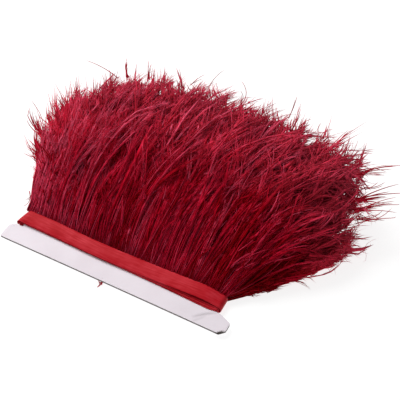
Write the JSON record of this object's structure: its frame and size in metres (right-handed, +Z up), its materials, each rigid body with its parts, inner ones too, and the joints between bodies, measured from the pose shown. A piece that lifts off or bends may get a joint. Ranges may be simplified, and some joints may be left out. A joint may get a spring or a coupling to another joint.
{
  "type": "roll of ostrich feather trim",
  "caption": "Ostrich feather fringe on a satin tape, wound flat round a strip of card, its feathers fanning out over the surface it rests on.",
  "frame": {"origin": "on the surface that the roll rests on, under the middle of the card's length and 4.5 mm in front of the tape edge that the feathers grow from", "axes": "+Z up, +X along the roll to its right-hand end, +Y the way the feathers point"},
  "size_m": [0.3021, 0.215, 0.0693],
  "materials": {
    "card": "smooth white card, matt",
    "tape": "red satin ribbon with a soft gloss",
    "feather": "dyed ostrich feather, crimson, soft and matt with a faint sheen"
  },
  "bodies": {
    "root": {"card": "card", "tape_roll": "tape", "feathers": "feather"}
  },
  "joints": []
}
